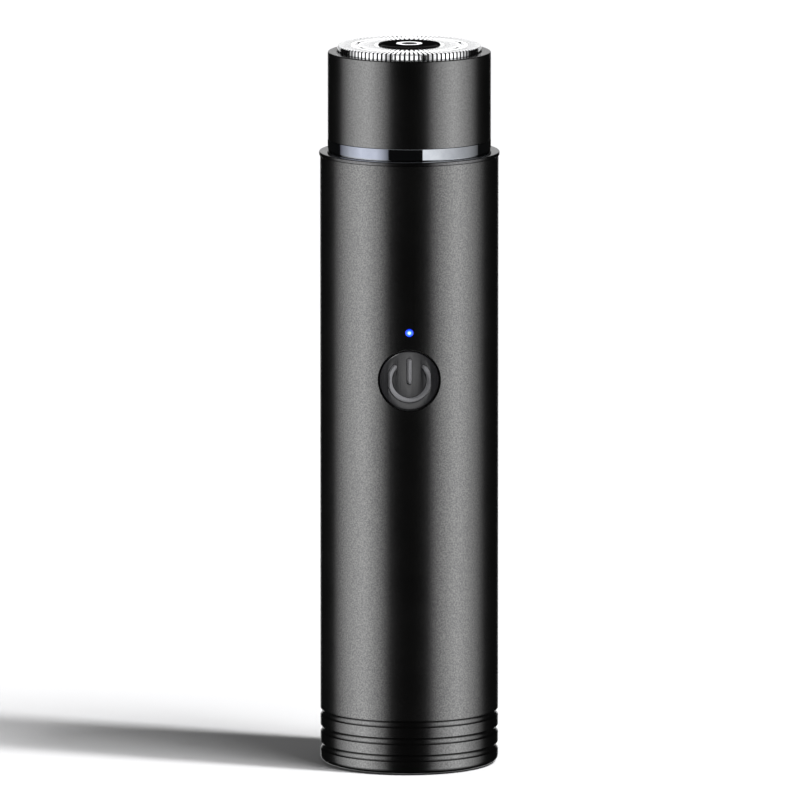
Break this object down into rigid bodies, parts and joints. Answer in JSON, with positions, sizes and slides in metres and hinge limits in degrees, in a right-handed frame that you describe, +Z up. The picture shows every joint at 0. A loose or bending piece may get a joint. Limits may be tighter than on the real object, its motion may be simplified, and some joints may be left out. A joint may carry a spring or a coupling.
{
  "type": "electric shaver",
  "caption": "Slim cylindrical rechargeable shaver with a round slotted cutting head, a push button, a status light and a charging socket in its base.",
  "frame": {"origin": "centre of the base, on the plane of its rubber foot", "axes": "+Z up the handle's axis through the cutting head; the button and the status light face -Y; +X is to the right when facing the button"},
  "size_m": [0.0284, 0.0284, 0.1141],
  "materials": {
    "painted_body": "fine satin metallic coat over drawn aluminium",
    "base_paint": "satin metallic coat, glossier in the grooves",
    "dark_chrome": "polished dark plating",
    "collar_metal": "satin metallic coat",
    "head_plastic": "smooth dark plastic",
    "button_plastic": "fine matte",
    "symbol_grey": "pale filled mark",
    "net_steel": "bright polished",
    "badge_black": "high gloss",
    "bright_trim": "mirror",
    "lens_clear": "clear light pipe, lit blue",
    "led_blue": "lit blue",
    "rubber_black": "matte",
    "seal_grey": "smooth silicone",
    "chassis_plastic": "moulded",
    "screw_steel": "zinc plated",
    "blade_steel": "ground",
    "motor_steel": "nickel plated can",
    "bell_plastic": "natural nylon",
    "magnet_dark": "sintered ferrite",
    "bronze": "sintered bronze",
    "copper": "enamelled copper",
    "gold": "gold plated",
    "cell_sleeve": "shrink sleeve over a steel can",
    "nickel": "nickel strip",
    "foam_grey": "open foam",
    "board_green": "solder mask over glass epoxy",
    "chip_black": "moulded epoxy",
    "inductor_grey": "ferrite body",
    "ceramic_tan": "fired ceramic",
    "switch_metal": "stamped cover",
    "flex_amber": "polyimide film",
    "lead_red": "PVC sleeve",
    "lead_black": "PVC sleeve",
    "hub_white": "acetal",
    "spindle_grey": "acetal",
    "retainer_plastic": "moulded",
    "carrier_plastic": "moulded",
    "spring_steel": "drawn spring wire",
    "shaft_steel": "ground",
    "lamination": "stacked sheets",
    "carbon": "carbon brush on a copper leaf"
  },
  "bodies": {
    "handle": {"body_tube": "painted_body", "base_cap": "base_paint", "foot_ring": "rubber_black", "collar_ring": "collar_metal", "neck_housing": "dark_chrome", "head_seal": "seal_grey", "neck_seal": "seal_grey", "base_seal": "seal_grey", "shaft_seal": "seal_grey", "chassis": "chassis_plastic", "motor_mount": "screw_steel", "motor_screws": "screw_steel", "chassis_screws": "screw_steel", "base_screws": "screw_steel", "motor_can": "motor_steel", "motor_end_bell": "bell_plastic", "motor_magnets": "magnet_dark", "motor_bushes": "bronze", "motor_brushes": "carbon", "motor_terminals": "nickel", "battery_cell": "cell_sleeve", "battery_tabs": "nickel", "battery_pad": "foam_grey", "circuit_board": "board_green", "board_screws": "screw_steel", "board_chips": "chip_black", "board_inductor": "inductor_grey", "board_capacitors": "ceramic_tan", "tact_switch": "switch_metal", "status_led": "led_blue", "led_lens": "lens_clear", "button_gasket": "seal_grey", "port_board": "board_green", "usb_shell": "switch_metal", "usb_tongue": "chip_black", "usb_contacts": "gold", "port_cable": "flex_amber", "motor_lead_red": "lead_red", "motor_lead_black": "lead_black"},
    "button": {"power_button": "button_plastic", "power_symbol": "symbol_grey", "switch_plunger": "chip_black"},
    "rotor": {"motor_shaft": "shaft_steel", "motor_armature": "lamination", "motor_windings": "copper", "motor_commutator": "copper", "drive_hub": "hub_white", "spindle_spring": "spring_steel"},
    "spindle": {"drive_spindle": "spindle_grey"},
    "head": {"head_housing": "head_plastic"},
    "retainer": {"cutter_retainer": "retainer_plastic"},
    "foil": {"shaving_net": "net_steel", "net_badge": "badge_black", "badge_emblem": "bright_trim"},
    "cutter": {"cutter_blades": "blade_steel", "cutter_carrier": "carrier_plastic"}
  },
  "joints": [
    {"name": "button_press", "type": "slide", "parent": "handle", "child": "button", "axis": [0, 1, 0], "range_m": [0, 0.0004], "stiffness_N_per_m": 2000, "springref_m": -0.0005},
    {"name": "motor_spin", "type": "hinge", "parent": "handle", "child": "rotor", "pos_m": [0, 0, 0.08], "axis": [0, 0, 1], "continuous": true},
    {"name": "spindle_slide", "type": "slide", "parent": "rotor", "child": "spindle", "axis": [0, 0, 1], "range_m": [-0.0008, 0], "deforming": ["spindle_spring"]},
    {"name": "head_lift", "type": "slide", "parent": "handle", "child": "head", "axis": [0, 0, 1], "range_m": [0, 0.025]},
    {"name": "retainer_turn", "type": "hinge", "parent": "head", "child": "retainer", "pos_m": [0, 0, 0.106], "axis": [0, 0, 1], "range_deg": [0, 40]},
    {"name": "foil_float", "type": "slide", "parent": "head", "child": "foil", "axis": [0, 0, 1], "range_m": [-0.0008, 0], "stiffness_N_per_m": 300, "springref_m": 0.002},
    {"name": "cutter_spin", "type": "hinge", "parent": "foil", "child": "cutter", "pos_m": [0, 0, 0.11], "axis": [0, 0, 1], "continuous": true}
  ],
  "couplings": [
    {"joint": "cutter_spin", "follows": "motor_spin", "ratio": 1},
    {"joint": "spindle_slide", "follows": "foil_float", "ratio": 1}
  ]
}
